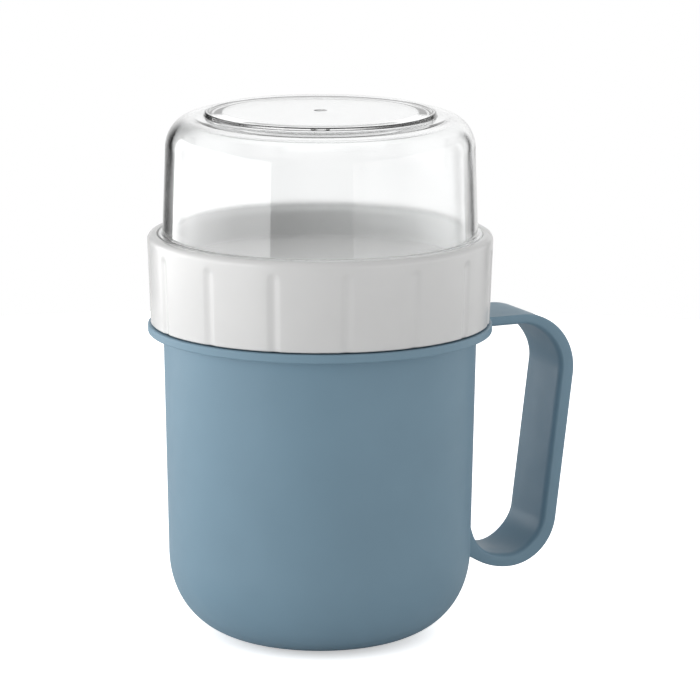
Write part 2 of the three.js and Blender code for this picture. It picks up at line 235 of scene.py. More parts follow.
def new_object(name, vertices, faces):
    """An object with a closed mesh, its faces pointing out."""
    mesh = bpy.data.meshes.new(name)
    mesh.from_pydata(vertices, [], faces)
    work = bmesh.new()
    work.from_mesh(mesh)
    bmesh.ops.recalc_face_normals(work, faces=work.faces)
    work.to_mesh(mesh)
    work.free()
    obj = bpy.data.objects.new(name, mesh)
    bpy.context.scene.collection.objects.link(obj)
    return obj


def rounded(corners):
    """An outline from corners (radius, height, rounding). A rounded corner becomes an arc with a near
    point on each side of it, which keeps the flats beside it flat when they are shaded smooth."""
    points = []
    for i, (radius, height, rounding) in enumerate(corners):
        here = Vector((radius, height))
        if rounding == 0:
            points.append(here)
            continue
        back = (Vector(corners[i - 1][:2]) - here).normalized()
        ahead = (Vector(corners[(i + 1) % len(corners)][:2]) - here).normalized()
        half = back.angle(ahead) / 2
        reach = rounding / math.tan(half)
        middle = here + (back + ahead).normalized() * rounding / math.sin(half)
        start = here + back * reach - middle
        sweep = start.angle_signed(here + ahead * reach - middle)
        steps = max(2, math.ceil(abs(math.degrees(sweep)) / ARC_STEP))
        points.append(here + back * (reach + SUPPORT))
        for k in range(steps + 1):
            turn = -sweep * k / steps
            turned = Vector((
                start.x * math.cos(turn) - start.y * math.sin(turn),
                start.x * math.sin(turn) + start.y * math.cos(turn),
            ))
            points.append(middle + turned)
        points.append(here + ahead * (reach + SUPPORT))
    return points


def revolve(name, outline, angles, push=None):
    """A solid turned about Z. The outline goes round its section anticlockwise, and push(radius,
    height, angle) gives what is added to the radius at a point."""
    vertices = []
    rings = []
    for radius, height in outline:
        start = len(vertices)
        if radius == 0:
            vertices.append((0, 0, height * MM))
            rings.append([start] * len(angles))
            continue
        for angle in angles:
            reach = radius + (push(radius, height, angle) if push else 0)
            x, y = polar(reach * MM, angle)
            vertices.append((x, y, height * MM))
        rings.append(list(range(start, len(vertices))))
    pairs = list(zip(rings, rings[1:]))
    if outline[0][0] > 0:
        pairs.append((rings[-1], rings[0]))
    faces = []
    for lower, upper in pairs:
        for k in range(len(angles)):
            after = (k + 1) % len(angles)
            corners = dict.fromkeys((lower[k], lower[after], upper[after], upper[k]))
            if len(corners) > 2:
                faces.append(list(corners))
    return new_object(name, vertices, faces)


def loft(name, sections):
    """A solid through closed sections, which are lists of as many points each, in millimetres."""
    count = len(sections[0])
    vertices = [point * MM for section in sections for point in section]
    faces = [list(range(count)), list(range(len(vertices) - count, len(vertices)))]
    for s in range(len(sections) - 1):
        for k in range(count):
            after = (k + 1) % count
            low, high = s * count, (s + 1) * count
            faces.append([low + k, low + after, high + after, high + k])
    return new_object(name, vertices, faces)


def join(body, *others):
    """Fuses closed objects into body as one solid."""
    for other in others:
        modifier = body.modifiers.new("join", "BOOLEAN")
        modifier.operation = "UNION"
        modifier.solver = "MANIFOLD"
        modifier.object = other
    depsgraph = bpy.context.evaluated_depsgraph_get()
    mesh = bpy.data.meshes.new_from_object(body.evaluated_get(depsgraph))
    body.modifiers.clear()
    body.data = mesh
    for other in others:
        bpy.data.objects.remove(other)
    return body


def even_angles():
    """Angles round a plain solid."""
    return [360 * k / ROUND_STEPS for k in range(ROUND_STEPS)]


def dress(obj, material, node):
    """Finishes a piece that stands for a solid of the frame and moves with it."""
    obj.data.shade_smooth()
    obj.data.set_sharp_from_angle(angle=math.radians(SHARP_ANGLE))
    obj.data.materials.clear()
    obj.data.materials.append(material)
    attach(obj, node)
    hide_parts(node)


# Threads


def ridge_section():
    """Half outline of a ridge, from its foot to its middle: (share of the height, half width)."""
    return [
        (0.0, THREAD_ROOT / 2),
        (1 - THREAD_ROUND / THREAD_HEIGHT, THREAD_CREST / 2 + flank_slope * THREAD_ROUND),
        (1 - THREAD_ROUND / THREAD_HEIGHT / 3, THREAD_CREST / 2),
        (1.0, THREAD_CREST / 2 - THREAD_ROUND),
    ]


def ridge(name, wall_radius, start_height, start_angle, span, side):
    """One helical ridge on a round wall: side is 1 on an outside wall and -1 in a bore."""
    half = ridge_section()
    profile = [(-THREAD_SINK, THREAD_ROOT / 2)]
    profile += [(share * THREAD_HEIGHT, width) for share, width in half]
    profile += [(height, -width) for height, width in reversed(profile)]
    steps = math.ceil(span / RIDGE_STEP)
    sections = []
    for i in range(steps + 1):
        turn = span * i / steps
        fade = min(1, turn / THREAD_RUN_OUT, (span - turn) / THREAD_RUN_OUT)
        fade = fade * fade * (3 - 2 * fade)
        middle = start_height + THREAD_LEAD * turn / 360
        section = []
        for height, width in profile:
            raised = height if height < 0 else (height + SUPPORT) * fade - SUPPORT
            x, y = polar(wall_radius + side * raised, start_angle + turn)
            section.append(Vector((x, y, middle + width)))
        sections.append(section)
    return loft(name, sections)


def thread(name, wall_radius, start_height, phase, span, side):
    """Every start of a thread."""
    starts = [phase + 360 * k / THREAD_STARTS for k in range(THREAD_STARTS)]
    return [ridge(name, wall_radius, start_height, start, span, side) for start in starts]


# Mug


def bottom_corner(wall_radius, inset, floor_height):
    """Rounded bottom corner, from the base up to the wall, drawn in by an inset."""
    run = CORNER_RUN - inset
    rise = CORNER_RISE - floor_height
    ends = [
        Vector((wall_radius - run, floor_height)),
        Vector((wall_radius - run * (1 - CORNER_FULLNESS), floor_height)),
        Vector((wall_radius, floor_height + rise * (1 - CORNER_FULLNESS))),
        Vector((wall_radius, floor_height + rise)),
    ]
    return [bezier(ends, k / CORNER_STEPS) for k in range(CORNER_STEPS + 1)]


def bezier(ends, t):
    """The point at t on the curve with these control points."""
    points = ends
    while len(points) > 1:
        points = [a.lerp(b, t) for a, b in zip(points, points[1:])]
    return points[0]


def plain(points):
    """Corners without rounding."""
    return [(point.x, point.y, 0) for point in points]


def wall_radius_at(height):
    """Outside radius of the mug at a height."""
    if height >= CORNER_RISE:
        return CUP_RADIUS - (lip_under - height) * math.tan(math.radians(CUP_DRAFT))
    corner = bottom_corner(wall_foot, 0, 0)
    for low, high in zip(corner, corner[1:]):
        if high.y >= height:
            share = (height - low.y) / (high.y - low.y)
            return low.x + (high.x - low.x) * share
    return wall_foot


def cup_body():
    """The mug without its handle: base, wall, lip, neck and the hollow inside."""
    groove = BASE_GROOVE_RADIUS
    corners = [
        (0, GATE_DIMPLE_DEPTH, 0),
        (GATE_DIMPLE_RADIUS - GATE_DIMPLE_DEPTH, GATE_DIMPLE_DEPTH, DIMPLE_FLOOR_ROUND),
        (GATE_DIMPLE_RADIUS, 0, DIMPLE_EDGE_ROUND),
        (groove, 0, BASE_GROOVE_ROUND),
        (groove + BASE_GROOVE_WIDTH / 2, BASE_GROOVE_DEPTH, BASE_GROOVE_ROUND),
        (groove + BASE_GROOVE_WIDTH, 0, BASE_GROOVE_ROUND),
        *plain(bottom_corner(wall_foot, 0, 0)),
        (CUP_RADIUS, lip_under, LIP_FILLET),
        (LIP_RADIUS, lip_under, LIP_ROUND),
        (LIP_RADIUS, CUP_LIP_TOP, LIP_ROUND),
        (neck_radius, CUP_LIP_TOP, LIP_FILLET),
        (neck_radius, NECK_TOP, RIM_ROUND),
        (neck_bore, NECK_TOP, RIM_ROUND),
        (neck_bore, lip_under, 0),
        *reversed(plain(bottom_corner(wall_foot - CUP_WALL, CUP_WALL, CUP_FLOOR))),
        (0, CUP_FLOOR, 0),
    ]
    return revolve("cup_moulding", rounded(corners), even_angles())


def strap_edges():
    """Inner and outer edge of the strap in the plane of the handle, from the lip round to the foot.
    Each bend turns the outward direction on, from straight up to past straight down."""
    root = neck_bore + ROOT_SINK
    top = CUP_LIP_TOP - HANDLE_DROP
    lean = math.radians(HANDLE_LEAN)
    top_bend = Vector((HANDLE_REACH - HANDLE_TOP_BEND, top - HANDLE_TOP_BEND))
    low_height = HANDLE_CLEARANCE_BELOW + HANDLE_LOW_BEND
    shift = (HANDLE_TOP_BEND - HANDLE_LOW_BEND) / math.cos(lean)
    drop = (top_bend.y - low_height) * math.tan(lean)
    low_bend = Vector((top_bend.x + shift - drop, low_height))
    foot_bend = Vector((low_bend.x, HANDLE_CLEARANCE_BELOW + HANDLE_FOOT_BEND))
    bends = [
        (top_bend, HANDLE_TOP_BEND, 90, -HANDLE_LEAN, ROOT_THICKNESS, GRIP_THICKNESS),
        (low_bend, HANDLE_LOW_BEND, -HANDLE_LEAN, -90, GRIP_THICKNESS, FOOT_THICKNESS),
    ]
    inner = [Vector((root, top - ROOT_THICKNESS))]
    outer = [Vector((root, top))]
    for middle, radius, start, end, thick_start, thick_end in bends:
        steps = math.ceil((start - end) / BEND_STEP)
        for k in range(steps + 1):
            angle = start + (end - start) * k / steps
            swell = BEND_SWELL * math.sin(math.pi * k / steps) ** 2
            thickness = thick_start + (thick_end - thick_start) * k / steps + swell
            inner.append(middle + polar(radius - thickness, angle))
            outer.append(middle + polar(radius, angle))
    steps = math.ceil(HANDLE_FOOT_RISE / BEND_STEP)
    for k in range(1, steps + 1):
        inner_angle = -90 - FOOT_SWEEP * k / steps
        outer_angle = -90 - HANDLE_FOOT_RISE * k / steps
        inner.append(foot_bend + polar(HANDLE_FOOT_BEND - FOOT_THICKNESS, inner_angle))
        outer.append(foot_bend + polar(HANDLE_FOOT_BEND, outer_angle))
    return inner, outer


def foot_curve(start, climb, before, after):
    """Where one edge of the strap meets the wall: a curve that turns from the climbing strap along
    the wall and ends just inside it. Before and after are the lengths of its two sides."""
    rise = math.radians(climb)
    along = Vector((-math.cos(rise), math.sin(rise)))
    corner = start.copy()
    for _ in range(CORNER_STEPS):
        corner = corner + along * (corner.x - wall_radius_at(corner.y)) / math.cos(rise)
    end_height = corner.y + after
    ends = [
        corner - along * before,
        corner,
        Vector((wall_radius_at(end_height) - FOOT_SINK, end_height)),
    ]
    if before > (corner - start).length:
        ends[0] = start
    return [bezier(ends, k / FOOT_STEPS) for k in range(1, FOOT_STEPS + 1)]


def corner_arc(middle, run, rise, quarter):
    """Rounded corner of a section: a quarter of an ellipse, counted anticlockwise."""
    steps = math.ceil(90 / ARC_STEP)
    turns = [polar(1, 90 * (quarter + k / steps)) for k in range(steps + 1)]
    return [Vector((middle[0] + run * turn.x, middle[1] + rise * turn.y)) for turn in turns]


def strap_section(inner, outer, width, hug):
    """Section between the two edges, with soft corners on the side of the fingers. Hug, from 0 to 1,
    curves it to follow the wall."""
    across = (outer - inner).normalized()
    depth = (outer - inner).length - HANDLE_ROUND
    half = width / 2 - HANDLE_ROUND
    eased = width / 2 - FINGER_EASE
    outline = [
        *corner_arc((depth, half), HANDLE_ROUND, HANDLE_ROUND, 0),
        *corner_arc((FINGER_ROUND, eased), FINGER_ROUND, FINGER_EASE, 1),
        *corner_arc((FINGER_ROUND, -eased), FINGER_ROUND, FINGER_EASE, 2),
        *corner_arc((depth, -half), HANDLE_ROUND, HANDLE_ROUND, 3),
    ]
    points = []
    for u, y in outline:
        place = inner + across * u
        curve = CUP_RADIUS - math.sqrt(CUP_RADIUS ** 2 - y ** 2)
        points.append(Vector((place.x - hug * curve, y, place.y)))
    return points


def strap():
    """The handle, with both ends sunk into the wall of the mug."""
    inner, outer = strap_edges()
    inner_foot = foot_curve(inner[-1], FOOT_SWEEP, FOOT_FILLET_ABOVE, FOOT_FILLET_ABOVE)
    outer_foot = foot_curve(outer[-1], HANDLE_FOOT_RISE, FOOT_FILLET_BELOW, -FOOT_FILLET_BELOW)
    sections = [strap_section(inner[0], outer[0], HANDLE_WIDTH, 1)]
    for edge_in, edge_out in zip(inner[1:], outer[1:]):
        sections.append(strap_section(edge_in, edge_out, HANDLE_WIDTH, 0))
    for k, (edge_in, edge_out) in enumerate(zip(inner_foot, outer_foot)):
        share = ((k + 1) / FOOT_STEPS) ** 2
        sections.append(strap_section(edge_in, edge_out, HANDLE_WIDTH + 2 * FOOT_FLARE * share, share))
    return loft("strap", sections)


def cup():
    """The whole mug: body, handle and neck ridges in one moulding."""
    start = LID_BOTTOM + THREAD_INSET + ridge_offset
    ridges = thread("neck_ridge", neck_radius, start, CUP_THREAD_PHASE, CUP_THREAD_SPAN, 1)
    return join(cup_body(), strap(), *ridges)


# Lid


def lid_angles():
    """Angles round the lid, close together across each flute."""
    pitch = 360 / FLUTES
    half = math.degrees(FLUTE_HALF_WIDTH / lid_radius)
    angles = []
    for k in range(FLUTES):
        middle = FLUTE_PHASE + pitch * k
        for i in range(FLUTE_ANGLE_STEPS):
            angles.append(middle - half + 2 * half * i / FLUTE_ANGLE_STEPS)
        for i in range(PLAIN_ANGLE_STEPS):
            angles.append(middle + half + (pitch - 2 * half) * i / PLAIN_ANGLE_STEPS)
    return angles


def flute_push(radius, height, angle):
    """Depth of the finger flutes on the outer wall: round-ended grooves open at the lower edge."""
    if radius < lid_radius - LID_EDGE_ROUND:
        return 0
    pitch = 360 / FLUTES
    off = (angle - FLUTE_PHASE + pitch / 2) % pitch - pitch / 2
    sideways = math.radians(off) * radius
    above = max(0, height - (LID_TOP - FLUTE_TOP_MARGIN - FLUTE_HALF_WIDTH))
    away = math.hypot(sideways, above) / FLUTE_HALF_WIDTH
    if away >= 1:
        return 0
    return -FLUTE_DEPTH * math.cos(away * math.pi / 2) ** 2


def lid_wall_rows():
    """Rows of points up the outer wall, close together where the flutes end."""
    low = Vector((lid_radius, LID_BOTTOM + LID_EDGE_ROUND * 2))
    high = Vector((LID_TOP_RADIUS, LID_TOP - LID_TOP_ROUND))
    ends = LID_TOP - FLUTE_TOP_MARGIN - FLUTE_HALF_WIDTH
    heights = []
    height = low.y
    while height < high.y - SUPPORT * 2:
        heights.append(height)
        height += WALL_ROW_STEP if height < ends - WALL_ROW_STEP else FLUTE_ROW_STEP
    span = high.y - low.y
    return [(low.x + (high.x - low.x) * (h - low.y) / span, h, 0) for h in heights]


def lid():
    """Ring with a floor across it: a threaded skirt below, a threaded socket above."""
    plug_bore = plug_radius - PLUG_WALL
    plug_end = lid_floor_under - PLUG_DEPTH
    corners = [
        (0, lid_floor_under, 0),
        (plug_bore, lid_floor_under, PLUG_CEILING_ROUND),
        (plug_bore, plug_end, PLUG_INNER_ROUND),
        (plug_radius, plug_end, PLUG_OUTER_ROUND),
        (plug_radius, lid_floor_under, PLUG_ROOT_ROUND),
        (lid_bore, lid_floor_under, SKIRT_ROUND),
        (lid_bore, LID_BOTTOM, LID_EDGE_ROUND),
        (lid_radius, LID_BOTTOM, LID_EDGE_ROUND),
        *lid_wall_rows(),
        (LID_TOP_RADIUS, LID_TOP, LID_TOP_ROUND),
        (rebate_radius, LID_TOP, LID_RIM_ROUND),
        (rebate_radius, lid_ledge, REBATE_ROUND),
        (upper_bore, lid_ledge, LEDGE_ROUND),
        (upper_bore, lid_floor_top, SOCKET_ROUND),
        (0, lid_floor_top, 0),
    ]
    body = revolve("lid_moulding", rounded(corners), lid_angles(), flute_push)
    lower_start = LID_BOTTOM + THREAD_INSET
    upper_start = DOME_RIM + RIM_INSET + ridge_offset
    lower = thread("skirt_ridge", lid_bore, lower_start, CUP_THREAD_PHASE, CUP_THREAD_SPAN, -1)
    upper = thread("socket_ridge", upper_bore, upper_start, DOME_THREAD_PHASE, DOME_THREAD_SPAN, -1)
    return join(body, *lower, *upper)


# Clear container


def shoulder(run, rise, start, end):
    """Quarter of an ellipse between the wall and the top."""
    middle = Vector((shoulder_radius, DOME_TOP - BASE_STEP - SHOULDER_RISE))
    points = []
    steps = math.ceil(90 / SHOULDER_STEP)
    for k in range(steps + 1):
        turn = polar(1, start + (end - start) * k / steps)
        points.append(middle + Vector((run * turn.x, rise * turn.y)))
    return points


def dome():
    """Round container, upside down: a threaded neck, a flange, the wall and the base it stands on."""
    base_radius = shoulder_radius - BASE_MARGIN
    inner_base = base_radius - CEILING_INSET
    ceiling = DOME_TOP - DOME_WALL
    corners = [
        (0, ceiling, 0),
        (inner_base - CEILING_SLOPE, ceiling, CEILING_ROUND),
        (inner_base, ceiling - BASE_STEP, CEILING_ROUND),
        *plain(shoulder(SHOULDER_RUN - DOME_WALL, SHOULDER_RISE - DOME_WALL, 90, 0)),
        (dome_bore, flange_top, 0),
        (dome_bore, DOME_RIM, DOME_RIM_ROUND),
        (dome_neck_radius, DOME_RIM, DOME_RIM_ROUND),
        (dome_neck_radius, flange_under, FLANGE_ROUND),
        (FLANGE_RADIUS, flange_under, FLANGE_ROUND),
        (FLANGE_RADIUS, flange_top, FLANGE_ROUND),
        (dome_radius, flange_top, DOME_FOOT_FILLET),
        *plain(shoulder(SHOULDER_RUN, SHOULDER_RISE, 0, 90)),
        (base_radius, DOME_TOP - BASE_STEP, BASE_FILLET),
        (base_radius, DOME_TOP, BASE_ROUND),
        (GATE_RADIUS, DOME_TOP, GATE_ROUND),
        (GATE_RADIUS, DOME_TOP - GATE_DEPTH, GATE_ROUND),
        (0, DOME_TOP - GATE_DEPTH, 0),
    ]
    body = revolve("dome_moulding", rounded(corners), even_angles())
    start = DOME_RIM + RIM_INSET
    ridges = thread("rim_ridge", dome_neck_radius, start, DOME_THREAD_PHASE, DOME_THREAD_SPAN, 1)
    return join(body, *ridges)


# Seals


def seal(name, inner_radius, outer_radius, low, high):
    """A flat silicone ring with soft edges."""
    rounding = (high - low) * SEAL_ROUND_SHARE
    corners = [
        (inner_radius, low, rounding),
        (outer_radius, low, rounding),
        (outer_radius, high, rounding),
        (inner_radius, high, rounding),
    ]
    return revolve(name, rounded(corners), even_angles())


# Materials. Clouding gives the darkest and lightest shade, roughness its lowest and highest value, and a
# grain its size and height in millimetres and its strength. Sizes of clouds and sheen are in millimetres

NOISE_DETAIL = 2.0
NOISE_LOW = 0.3
NOISE_HIGH = 0.7
PLASTIC_IOR = 1.49

CUP_BLUE = (0.2, 0.315, 0.4)
CUP_CLOUDING = (0.98, 1.02)
CUP_CLOUD_SIZE = 18.0
CUP_ROUGHNESS = (0.4, 0.47)
CUP_SHEEN_SIZE = 6.0
CUP_SPECULAR = 0.3
CUP_GRAIN = (0.35, 0.02, 0.25)

LID_WHITE = (0.735, 0.735, 0.73)
LID_CLOUDING = (0.985, 1.01)
LID_CLOUD_SIZE = 14.0
LID_ROUGHNESS = (0.2, 0.27)
LID_SHEEN_SIZE = 5.0
LID_GRAIN = (5.0, 0.02, 0.2)

CLEAR_TINT = (0.995, 1, 1, 1)
CLEAR_ROUGHNESS = (0.02, 0.04)
CLEAR_SHEEN_SIZE = 7.0
CLEAR_GRAIN = (9.0, 0.02, 0.15)
COAT_WEIGHT = 0.8
COAT_ROUGHNESS = 0.03
NECK_FROST = 0.4
CORE_ROUGHNESS = 0.1

SILICONE_WHITE = (0.78, 0.79, 0.78)
SILICONE_CLOUDING = (0.97, 1.0)
SILICONE_CLOUD_SIZE = 4.0
SILICONE_ROUGHNESS = (0.5, 0.62)
SILICONE_SHEEN_SIZE = 1.5
SILICONE_IOR = 1.41
SILICONE_GRAIN = (0.3, 0.02, 0.3)


def new_material(name):
    """A node material with its principled shader."""
    material = bpy.data.materials.new(name)
    material.use_nodes = True
    return material, material.node_tree.nodes["Principled BSDF"]


def noise(tree, size_mm):
    """Noise whose features are about this big, in the object's own space."""
    place = tree.nodes.new("ShaderNodeTexCoord")
    texture = tree.nodes.new("ShaderNodeTexNoise")
    texture.inputs["Scale"].default_value = 1 / (size_mm * MM)
    texture.inputs["Detail"].default_value = NOISE_DETAIL
    tree.links.new(place.outputs["Object"], texture.inputs["Vector"])
    return texture.outputs["Fac"]


def sum_node(tree, operation, first, second):
    """Result of a calculation on two values, which are sockets or plain numbers."""
    node = tree.nodes.new("ShaderNodeMath")
    node.operation = operation
    for socket, value in zip(node.inputs, (first, second)):
        if isinstance(value, (int, float)):
            socket.default_value = value
        else:
            tree.links.new(value, socket)
    return node.outputs[0]


def map_range(tree, value, from_min, from_max, to_min, to_max, interpolation="LINEAR"):
    """Value moved from one range to another, where the limits are sockets or plain numbers."""
    node = tree.nodes.new("ShaderNodeMapRange")
    node.interpolation_type = interpolation
    tree.links.new(value, node.inputs["Value"])
    limits = {"From Min": from_min, "From Max": from_max, "To Min": to_min, "To Max": to_max}
    for name, limit in limits.items():
        if isinstance(limit, (int, float)):
            node.inputs[name].default_value = limit
        else:
            tree.links.new(limit, node.inputs[name])
    return node.outputs["Result"]


def tint(tree, factor, low, high):
    """Colour that goes from low to high over the middle of a noise."""
    ramp = tree.nodes.new("ShaderNodeValToRGB")
    ramp.color_ramp.elements[0].position = NOISE_LOW
    ramp.color_ramp.elements[1].position = NOISE_HIGH
    ramp.color_ramp.elements[0].color = (*low, 1)
    ramp.color_ramp.elements[1].color = (*high, 1)
    tree.links.new(factor, ramp.inputs["Fac"])
    return ramp.outputs["Color"]


def spread(tree, factor, low, high):
    """Value that goes from low to high over the middle of a noise."""
    return map_range(tree, factor, NOISE_LOW, NOISE_HIGH, low, high)


def grain(tree, shader, size_mm, height_mm, strength):
    """Fine bump of a moulded surface."""
    bump = tree.nodes.new("ShaderNodeBump")
    bump.inputs["Strength"].default_value = strength
    bump.inputs["Distance"].default_value = height_mm * MM
    tree.links.new(noise(tree, size_mm), bump.inputs["Height"])
    tree.links.new(bump.outputs["Normal"], shader.inputs["Normal"])


def scaled(colour, factor):
    """A lighter or darker shade of a colour."""
    return tuple(channel * factor for channel in colour)


def moulded(name, colour, clouding, cloud_size, roughness, sheen_size, ior, bump):
    """An opaque plastic whose colour and gloss vary a little, with a fine bump."""
    material, shader = new_material(name)
    tree = material.node_tree
    shades = [scaled(colour, factor) for factor in clouding]
    tree.links.new(tint(tree, noise(tree, cloud_size), *shades), shader.inputs["Base Color"])
    tree.links.new(spread(tree, noise(tree, sheen_size), *roughness), shader.inputs["Roughness"])
    shader.inputs["IOR"].default_value = ior
    grain(tree, shader, *bump)
    return material, shader


def cup_plastic():
    """Satin blue polypropylene, with faint flow clouding and a fine moulded grain."""
    material, shader = moulded(
        "blue_plastic", CUP_BLUE, CUP_CLOUDING, CUP_CLOUD_SIZE, CUP_ROUGHNESS, CUP_SHEEN_SIZE,
        PLASTIC_IOR, CUP_GRAIN,
    )
    shader.inputs["Specular IOR Level"].default_value = CUP_SPECULAR
    return material


def lid_plastic():
    """Glossy white polypropylene, with a slow waviness from the mould."""
    return moulded(
        "white_plastic", LID_WHITE, LID_CLOUDING, LID_CLOUD_SIZE, LID_ROUGHNESS, LID_SHEEN_SIZE,
        PLASTIC_IOR, LID_GRAIN,
    )[0]


def clear_finish(tree, shader):
    """Roughness and coat of the clear plastic: frosted on the threaded neck, less polished inside the
    wall, and coated outside it."""
    place = tree.nodes.new("ShaderNodeTexCoord")
    split = tree.nodes.new("ShaderNodeSeparateXYZ")
    tree.links.new(place.outputs["Object"], split.inputs[0])
    across, deep, height = split.outputs
    square = sum_node(
        tree, "ADD", sum_node(tree, "MULTIPLY", across, across), sum_node(tree, "MULTIPLY", deep, deep)
    )
    radius = sum_node(tree, "SQRT", square, 0)
    wall_end = DOME_TOP - SHOULDER_RISE
    wall = map_range(tree, height, (wall_end - SHOULDER_RISE) * MM, wall_end * MM, 1, 0)
    inside = map_range(tree, radius, dome_bore * MM, dome_radius * MM, CORE_ROUGHNESS, 0)
    outside = map_range(tree, radius, dome_bore * MM, dome_radius * MM, 0, COAT_WEIGHT)
    frost = map_range(tree, height, flange_under * MM, flange_top * MM, NECK_FROST, 0)
    worn = sum_node(tree, "ADD", frost, sum_node(tree, "MULTIPLY", wall, inside))
    polish = spread(tree, noise(tree, CLEAR_SHEEN_SIZE), *CLEAR_ROUGHNESS)
    tree.links.new(sum_node(tree, "ADD", worn, polish), shader.inputs["Roughness"])
    tree.links.new(sum_node(tree, "MULTIPLY", wall, outside), shader.inputs["Coat Weight"])
    shader.inputs["Coat Roughness"].default_value = COAT_ROUGHNESS


def clear_plastic():
    """Clear styrene. Light falls through it without a hard shadow."""
    material, shader = new_material("clear_plastic")
    tree = material.node_tree
    shader.inputs["Base Color"].default_value = CLEAR_TINT
    shader.inputs["Transmission Weight"].default_value = 1
    shader.inputs["IOR"].default_value = PLASTIC_IOR
    clear_finish(tree, shader)
    grain(tree, shader, *CLEAR_GRAIN)
    path = tree.nodes.new("ShaderNodeLightPath")
    through = tree.nodes.new("ShaderNodeBsdfTransparent")
    through.inputs["Color"].default_value = CLEAR_TINT
    mix = tree.nodes.new("ShaderNodeMixShader")
    output = tree.nodes["Material Output"]
    tree.links.new(path.outputs["Is Shadow Ray"], mix.inputs["Fac"])
    tree.links.new(shader.outputs["BSDF"], mix.inputs[1])
    tree.links.new(through.outputs["BSDF"], mix.inputs[2])
    tree.links.new(mix.outputs["Shader"], output.inputs["Surface"])
    return material


def silicone():
    """Milky silicone rubber."""
    return moulded(
        "silicone", SILICONE_WHITE, SILICONE_CLOUDING, SILICONE_CLOUD_SIZE, SILICONE_ROUGHNESS,
        SILICONE_SHEEN_SIZE, SILICONE_IOR, SILICONE_GRAIN,
    )[0]


# The pieces on their bodies

dress(cup(), cup_plastic(), "cup")
dress(lid(), lid_plastic(), "lid")
dress(dome(), clear_plastic(), "dome")
rubber = silicone()
lid_ring = seal(
    "lid_seal_ring", plug_radius + SEAL_GAP, lid_seal_high.y, lid_seal_low.z, lid_seal_high.z
)
dress(lid_ring, rubber, "lid_seal")
dome_ring = seal(
    "dome_seal_ring", dome_neck_radius + SEAL_GAP, dome_seal_high.y, dome_seal_low.z, dome_seal_high.z
)
dress(dome_ring, rubber, "dome_seal")


# Camera, from a fit to the outlines in the photograph, in metres and degrees

VIEW_AZIMUTH = 25.0
CAMERA_DISTANCE = 1.25
CAMERA_HEIGHT = 0.33703
CAMERA_PITCH = 11.431
FOCAL_PIXELS = 4391.23
AXIS_PIXEL = 319.45
CAMERA_ROLL = 0.17
IMAGE_SIZE = 700
SENSOR = 36.0


def view_direction(degrees):
    """Level direction from the object, at an angle to the right of the camera as it sees it."""
    return polar(1, -90 - VIEW_AZIMUTH + degrees)


def make_camera():
    """Places the camera as the fit gives it."""
    data = bpy.data.cameras.new("camera")
    data.sensor_width = SENSOR
    data.lens = FOCAL_PIXELS / IMAGE_SIZE * SENSOR
    camera = bpy.data.objects.new("camera", data)
    bpy.context.scene.collection.objects.link(camera)
    camera.location = (*(view_direction(0) * CAMERA_DISTANCE), CAMERA_HEIGHT)
    aside = math.atan((IMAGE_SIZE / 2 - AXIS_PIXEL) / FOCAL_PIXELS)
    heading = -math.radians(VIEW_AZIMUTH) - aside
    turn = Matrix.Rotation(heading, 3, "Z")
    tilt = Matrix.Rotation(math.radians(90 - CAMERA_PITCH), 3, "X")
    roll = Matrix.Rotation(math.radians(CAMERA_ROLL), 3, "Z")
    camera.rotation_euler = (turn @ tilt @ roll).to_euler()
    bpy.context.scene.camera = camera


make_camera()


# Studio, in metres. Angles are to the right of the camera, as it sees the object. A dark strip has the
# sideways part of the direction to its middle, its half width, its level and the upward part at its top.
# Sideways is measured along each of the strips' turns, so that views from the sides have strips as well

FLOOR_RADIUS = 0.5
FLOOR_STEPS = 64
FLOOR_WHITE = 0.9
FLOOR_ROUGHNESS = 0.9
# Painted shade: within these distances of the axis the floor's glow drops to a lower level, which
# darkens the floor round the base on top of its real shadow.
PAINTED_SHADE_START = 0.022
PAINTED_SHADE_END = 0.042
PAINTED_SHADE_GLOW = 0.47
AMBIENT = 0.365
LOW_LEVEL = 0.9
LEFT_STRIP = (-0.48, 0.43, 0.0, 0.5)
RIGHT_STRIP = (0.52, 0.14, 0.0, 0.25)
STRIP_FADE = 0.1
STRIP_TURNS = (90, 180)
HORIZON = 0.02
ANY_DEPTH = 0.5
SIDE_HEIGHT = 0.8
SIDE_MIDDLE = 0.1
LEFT_ANGLE = -85.3
LEFT_DISTANCE = 0.9
LEFT_WIDTH = 2.12
LEFT_RADIANCE = 2.7
RIGHT_ANGLE = 76.8
RIGHT_DISTANCE = 1.0
RIGHT_WIDTH = 2.68
RIGHT_RADIANCE = 1.0
OVERHEAD_SIZE = 1.2
OVERHEAD_HEIGHT = 1.3
OVERHEAD_RADIANCE = 0.48


def softbox(name, width, height, radiance):
    """A panel of even brightness."""
    data = bpy.data.lights.new(name, "AREA")
    data.shape = "RECTANGLE"
    data.size = width
    data.size_y = height
    data.energy = radiance * math.pi * width * height
    lamp = bpy.data.objects.new(name, data)
    bpy.context.scene.collection.objects.link(lamp)
    return lamp


def side_softbox(name, angle, distance, width, radiance):
    """A softbox beside the object, which it faces. It shows in reflections, but not through the clear
    plastic."""
    lamp = softbox(name, width, SIDE_HEIGHT, radiance)
    lamp.visible_transmission = False
    place = view_direction(angle) * distance
    lamp.location = (*place, SIDE_MIDDLE)
    lamp.rotation_mode = "QUATERNION"
    lamp.rotation_quaternion = Vector((-place.x, -place.y, 0)).to_track_quat("-Z", "Y")


def make_lights():
    """A bright softbox on the left, a dimmer one on the right and a weak one overhead."""
    side_softbox("left_softbox", LEFT_ANGLE, LEFT_DISTANCE, LEFT_WIDTH, LEFT_RADIANCE)
    side_softbox("right_softbox", RIGHT_ANGLE, RIGHT_DISTANCE, RIGHT_WIDTH, RIGHT_RADIANCE)
    overhead = softbox("overhead_softbox", OVERHEAD_SIZE, OVERHEAD_SIZE, OVERHEAD_RADIANCE)
    overhead.location = (0, 0, OVERHEAD_HEIGHT)


